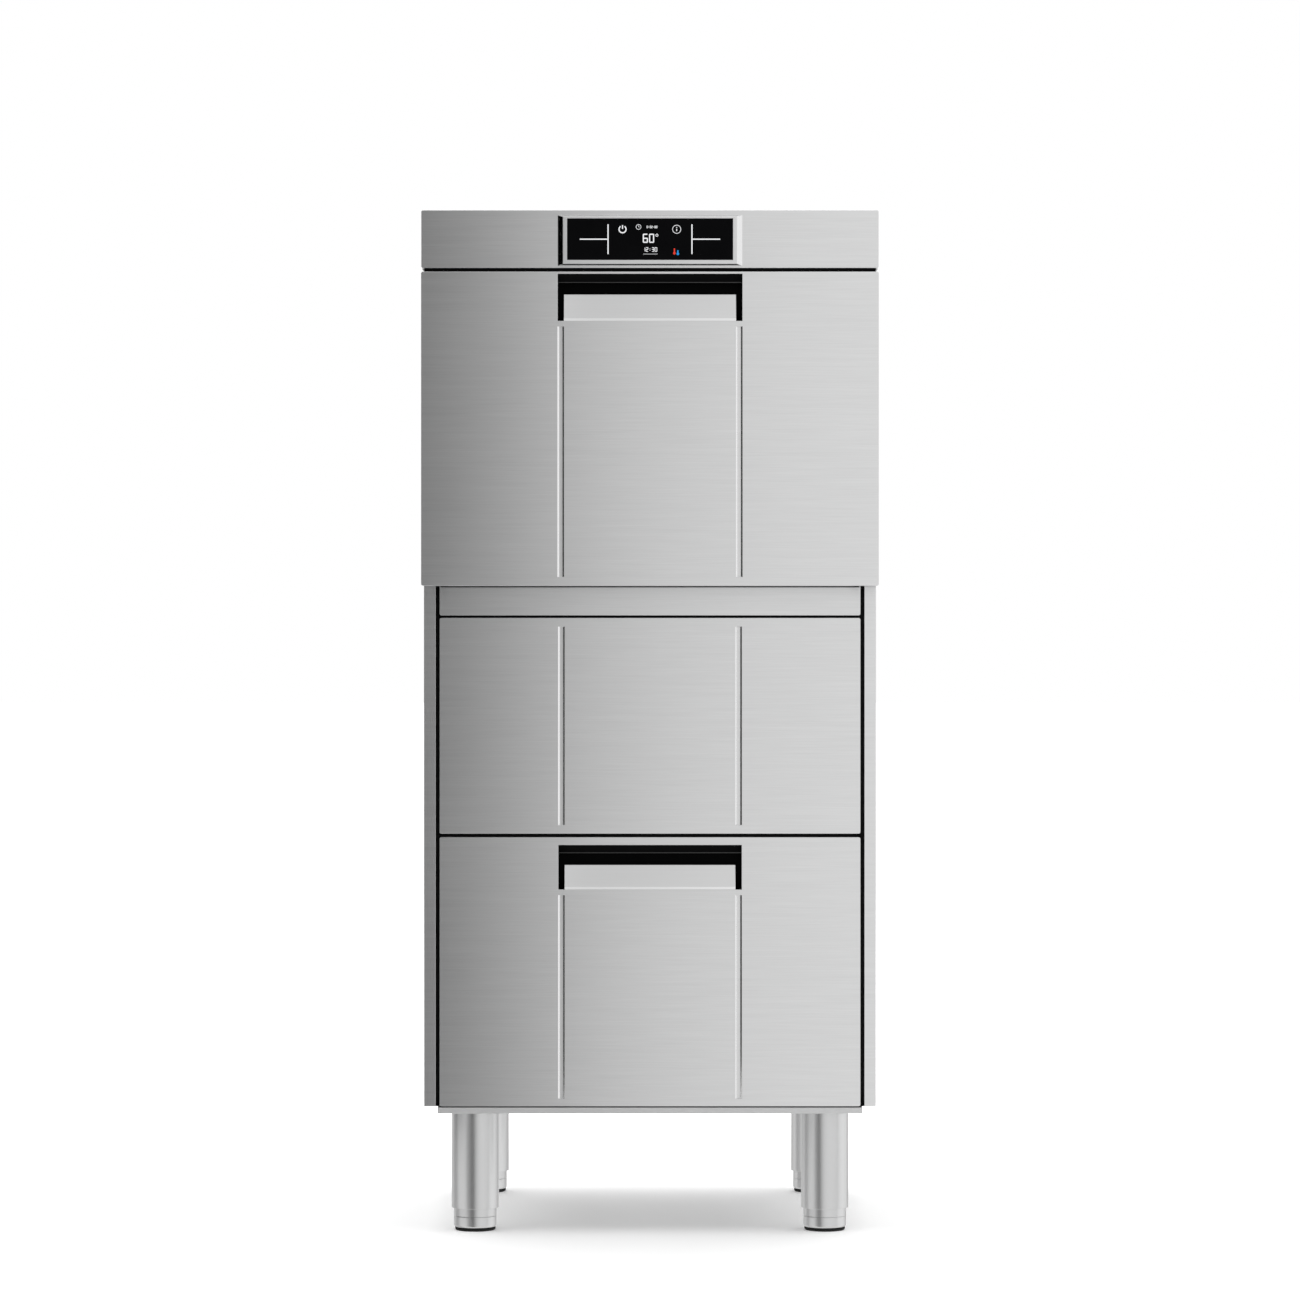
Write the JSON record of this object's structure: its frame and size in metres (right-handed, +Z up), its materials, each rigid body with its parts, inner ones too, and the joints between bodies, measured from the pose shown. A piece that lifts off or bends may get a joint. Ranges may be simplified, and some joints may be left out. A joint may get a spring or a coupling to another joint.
{
  "type": "dishwasher",
  "caption": "Tall stainless front-loading dishwasher with a drop-down door over a utensil drawer, pressed finger grips, a touch display and round adjustable legs.",
  "frame": {"origin": "centre of the footprint on the floor, under the feet", "axes": "+Z up, -Y out of the front, +X to the right as seen from the front"},
  "size_m": [0.6, 0.6, 1.35],
  "materials": {
    "brushed_sheet": "horizontally brushed stainless sheet",
    "satin_tube": "satin stainless tube",
    "folded_inner_sheet": "plain mill-finish stainless sheet",
    "frame_black": "matt black painted steel tube",
    "pressed_recess": "black moulded pocket",
    "grip_plate": "bright brushed stainless plate",
    "tank_steel": "smooth deep-drawn stainless steel",
    "arm_steel": "pressed stainless tube, lightly polished",
    "perforated_filter": "perforated stainless sheet",
    "slide_steel": "bright zinc-plated slide rail",
    "hinge_steel": "machined stainless hinge part",
    "screw_steel": "stainless screw head",
    "heater_tube": "dark heat-tinted heater tube",
    "foot_rubber": "black moulded rubber",
    "seal_rubber": "black extruded seal",
    "rack_plastic": "moulded blue polypropylene",
    "rail_plastic": "pale moulded plastic guide",
    "standpipe_plastic": "grey moulded pipe",
    "pump_housing": "cast and ribbed pump housing",
    "drain_pump_housing": "black moulded pump housing",
    "dosing_housing": "pale moulded pump housing",
    "boiler_jacket": "insulating jacket round the boiler",
    "hose_rubber": "black reinforced hose",
    "brass_fitting": "turned brass fitting",
    "valve_body": "white moulded valve body",
    "gland_plastic": "black moulded cable gland",
    "display_glass": "gloss black touch glass",
    "control_box": "moulded electronics housing"
  },
  "bodies": {
    "cabinet": {"side_panel_left": "brushed_sheet", "side_panel_right": "brushed_sheet", "service_panel": "brushed_sheet", "sill_strip": "brushed_sheet", "control_fascia": "brushed_sheet", "hood": "brushed_sheet", "leg_tubes": "satin_tube", "base_tray": "folded_inner_sheet", "rear_panel": "folded_inner_sheet", "connection_recess": "folded_inner_sheet", "door_frame": "folded_inner_sheet", "bay_liner": "folded_inner_sheet", "frame": "frame_black", "wash_chamber": "tank_steel", "wash_riser": "tank_steel", "lower_manifold": "tank_steel", "surface_filter": "perforated_filter", "strainer_basket": "perforated_filter", "slides_fixed": "slide_steel", "hinge_brackets": "hinge_steel", "rear_screws": "screw_steel", "tank_heater": "heater_tube", "cabinet_seals": "seal_rubber", "dish_rack": "rack_plastic", "chamber_rails": "rail_plastic", "overflow_standpipe": "standpipe_plastic", "wash_pump": "pump_housing", "drain_pump": "drain_pump_housing", "dosing_pumps": "dosing_housing", "rinse_boiler": "boiler_jacket", "hoses": "hose_rubber", "hose_connections": "brass_fitting", "inlet_valve": "valve_body", "cable_gland": "gland_plastic", "display_glass": "display_glass", "control_box": "control_box"},
    "door": {"door_skin": "brushed_sheet", "door_inner_skin": "folded_inner_sheet", "door_scoop": "pressed_recess", "door_grip": "grip_plate", "hinge_pins": "hinge_steel"},
    "drawer": {"drawer_front": "brushed_sheet", "drawer_scoop": "pressed_recess", "drawer_grip": "grip_plate", "drawer_box": "folded_inner_sheet", "slides_inner": "slide_steel"},
    "slide_middle": {"slides_middle": "slide_steel"},
    "lower_wash_arm": {"lower_wash_arm": "arm_steel"},
    "lower_rinse_arm": {"lower_rinse_arm": "arm_steel"},
    "upper_wash_arm": {"upper_wash_arm": "arm_steel"},
    "upper_rinse_arm": {"upper_rinse_arm": "arm_steel"},
    "foot_front_left": {"foot_sleeve_front_left": "satin_tube", "foot_pad_front_left": "foot_rubber"},
    "foot_front_right": {"foot_sleeve_front_right": "satin_tube", "foot_pad_front_right": "foot_rubber"},
    "foot_rear_left": {"foot_sleeve_rear_left": "satin_tube", "foot_pad_rear_left": "foot_rubber"},
    "foot_rear_right": {"foot_sleeve_rear_right": "satin_tube", "foot_pad_rear_right": "foot_rubber"}
  },
  "joints": [
    {"name": "door_hinge", "type": "hinge", "parent": "cabinet", "child": "door", "pos_m": [0, -0.275, 0.8661], "axis": [1, 0, 0], "range_deg": [0, 90], "stiffness_Nm_per_rad": 5.3, "springref_deg": -22.35},
    {"name": "drawer_slide", "type": "slide", "parent": "cabinet", "child": "drawer", "axis": [0, -1, 0], "range_m": [0, 0.42]},
    {"name": "slide_middle_slide", "type": "slide", "parent": "cabinet", "child": "slide_middle", "axis": [0, -1, 0], "range_m": [0, 0.21]},
    {"name": "lower_wash_arm_spin", "type": "hinge", "parent": "cabinet", "child": "lower_wash_arm", "pos_m": [0, 0, 0.847], "axis": [0, 0, 1], "continuous": true},
    {"name": "lower_rinse_arm_spin", "type": "hinge", "parent": "cabinet", "child": "lower_rinse_arm", "pos_m": [0, 0, 0.863], "axis": [0, 0, 1], "continuous": true},
    {"name": "upper_wash_arm_spin", "type": "hinge", "parent": "cabinet", "child": "upper_wash_arm", "pos_m": [0, 0, 1.2835], "axis": [0, 0, 1], "continuous": true},
    {"name": "upper_rinse_arm_spin", "type": "hinge", "parent": "cabinet", "child": "upper_rinse_arm", "pos_m": [0, 0, 1.2675], "axis": [0, 0, 1], "continuous": true},
    {"name": "foot_front_left_adjust", "type": "slide", "parent": "cabinet", "child": "foot_front_left", "axis": [0, 0, -1], "range_m": [-0.025, 0.025]},
    {"name": "foot_front_right_adjust", "type": "slide", "parent": "cabinet", "child": "foot_front_right", "axis": [0, 0, -1], "range_m": [-0.025, 0.025]},
    {"name": "foot_rear_left_adjust", "type": "slide", "parent": "cabinet", "child": "foot_rear_left", "axis": [0, 0, -1], "range_m": [-0.025, 0.025]},
    {"name": "foot_rear_right_adjust", "type": "slide", "parent": "cabinet", "child": "foot_rear_right", "axis": [0, 0, -1], "range_m": [-0.025, 0.025]}
  ],
  "couplings": [
    {"joint": "slide_middle_slide", "follows": "drawer_slide", "ratio": 0.5}
  ]
}
